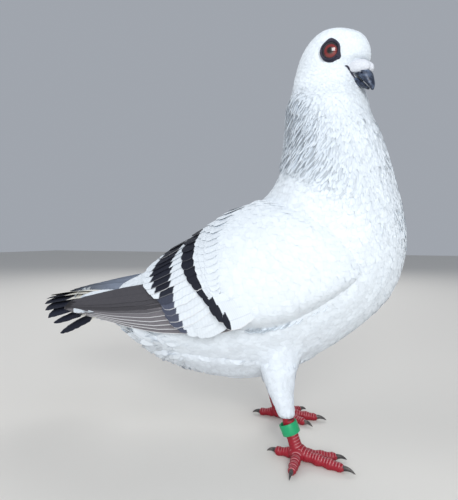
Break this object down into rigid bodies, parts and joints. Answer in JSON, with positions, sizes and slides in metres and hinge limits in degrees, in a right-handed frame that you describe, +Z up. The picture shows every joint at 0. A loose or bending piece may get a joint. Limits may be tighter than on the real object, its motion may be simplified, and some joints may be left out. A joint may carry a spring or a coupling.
{
  "type": "damascene pigeon, standing, still model",
  "caption": "Life-size still model of a standing white pigeon with dark-barred folded wings, head turned to its right and a plain ring on its right leg.",
  "frame": {"origin": "On the floor, under the middle of the whole bird's box.", "axes": "+X is the way the body faces, +Y is the bird's left side, +Z is up."},
  "size_m": [0.2528, 0.104, 0.2403],
  "materials": {
    "plumage_white": "soft white body feathers, faintly ice blue",
    "plumage_neck": "fine stranded neck feathers",
    "plumage_wing": "white wing coverts, dark bars, grey-brown flight feathers with pale edges",
    "plumage_tail": "white tail feathers with a black end band",
    "horn": "smooth blue-black horn",
    "cere": "powdery white, finely wrinkled skin",
    "eye": "wet red iris with a black pupil",
    "bare_skin": "dull dark plum skin with fine wrinkles",
    "foot_scale": "crimson scaly skin with paler scale edges",
    "leg_band": "plain green plastic"
  },
  "bodies": {
    "root": {"torso": "plumage_white", "neck": "plumage_neck", "head": "plumage_white", "beak_upper": "horn", "beak_lower": "horn", "cere": "cere", "eye_left": "eye", "eye_right": "eye", "eyelids_left": "bare_skin", "eyelids_right": "bare_skin", "wing_left": "plumage_wing", "wing_right": "plumage_wing", "tail": "plumage_tail", "thigh_left": "plumage_white", "thigh_right": "plumage_white", "foot_left": "foot_scale", "foot_right": "foot_scale", "claw_left_inner": "horn", "claw_left_middle": "horn", "claw_left_outer": "horn", "claw_left_hind": "horn", "claw_right_inner": "horn", "claw_right_middle": "horn", "claw_right_outer": "horn", "claw_right_hind": "horn", "leg_band": "leg_band"}
  },
  "joints": []
}
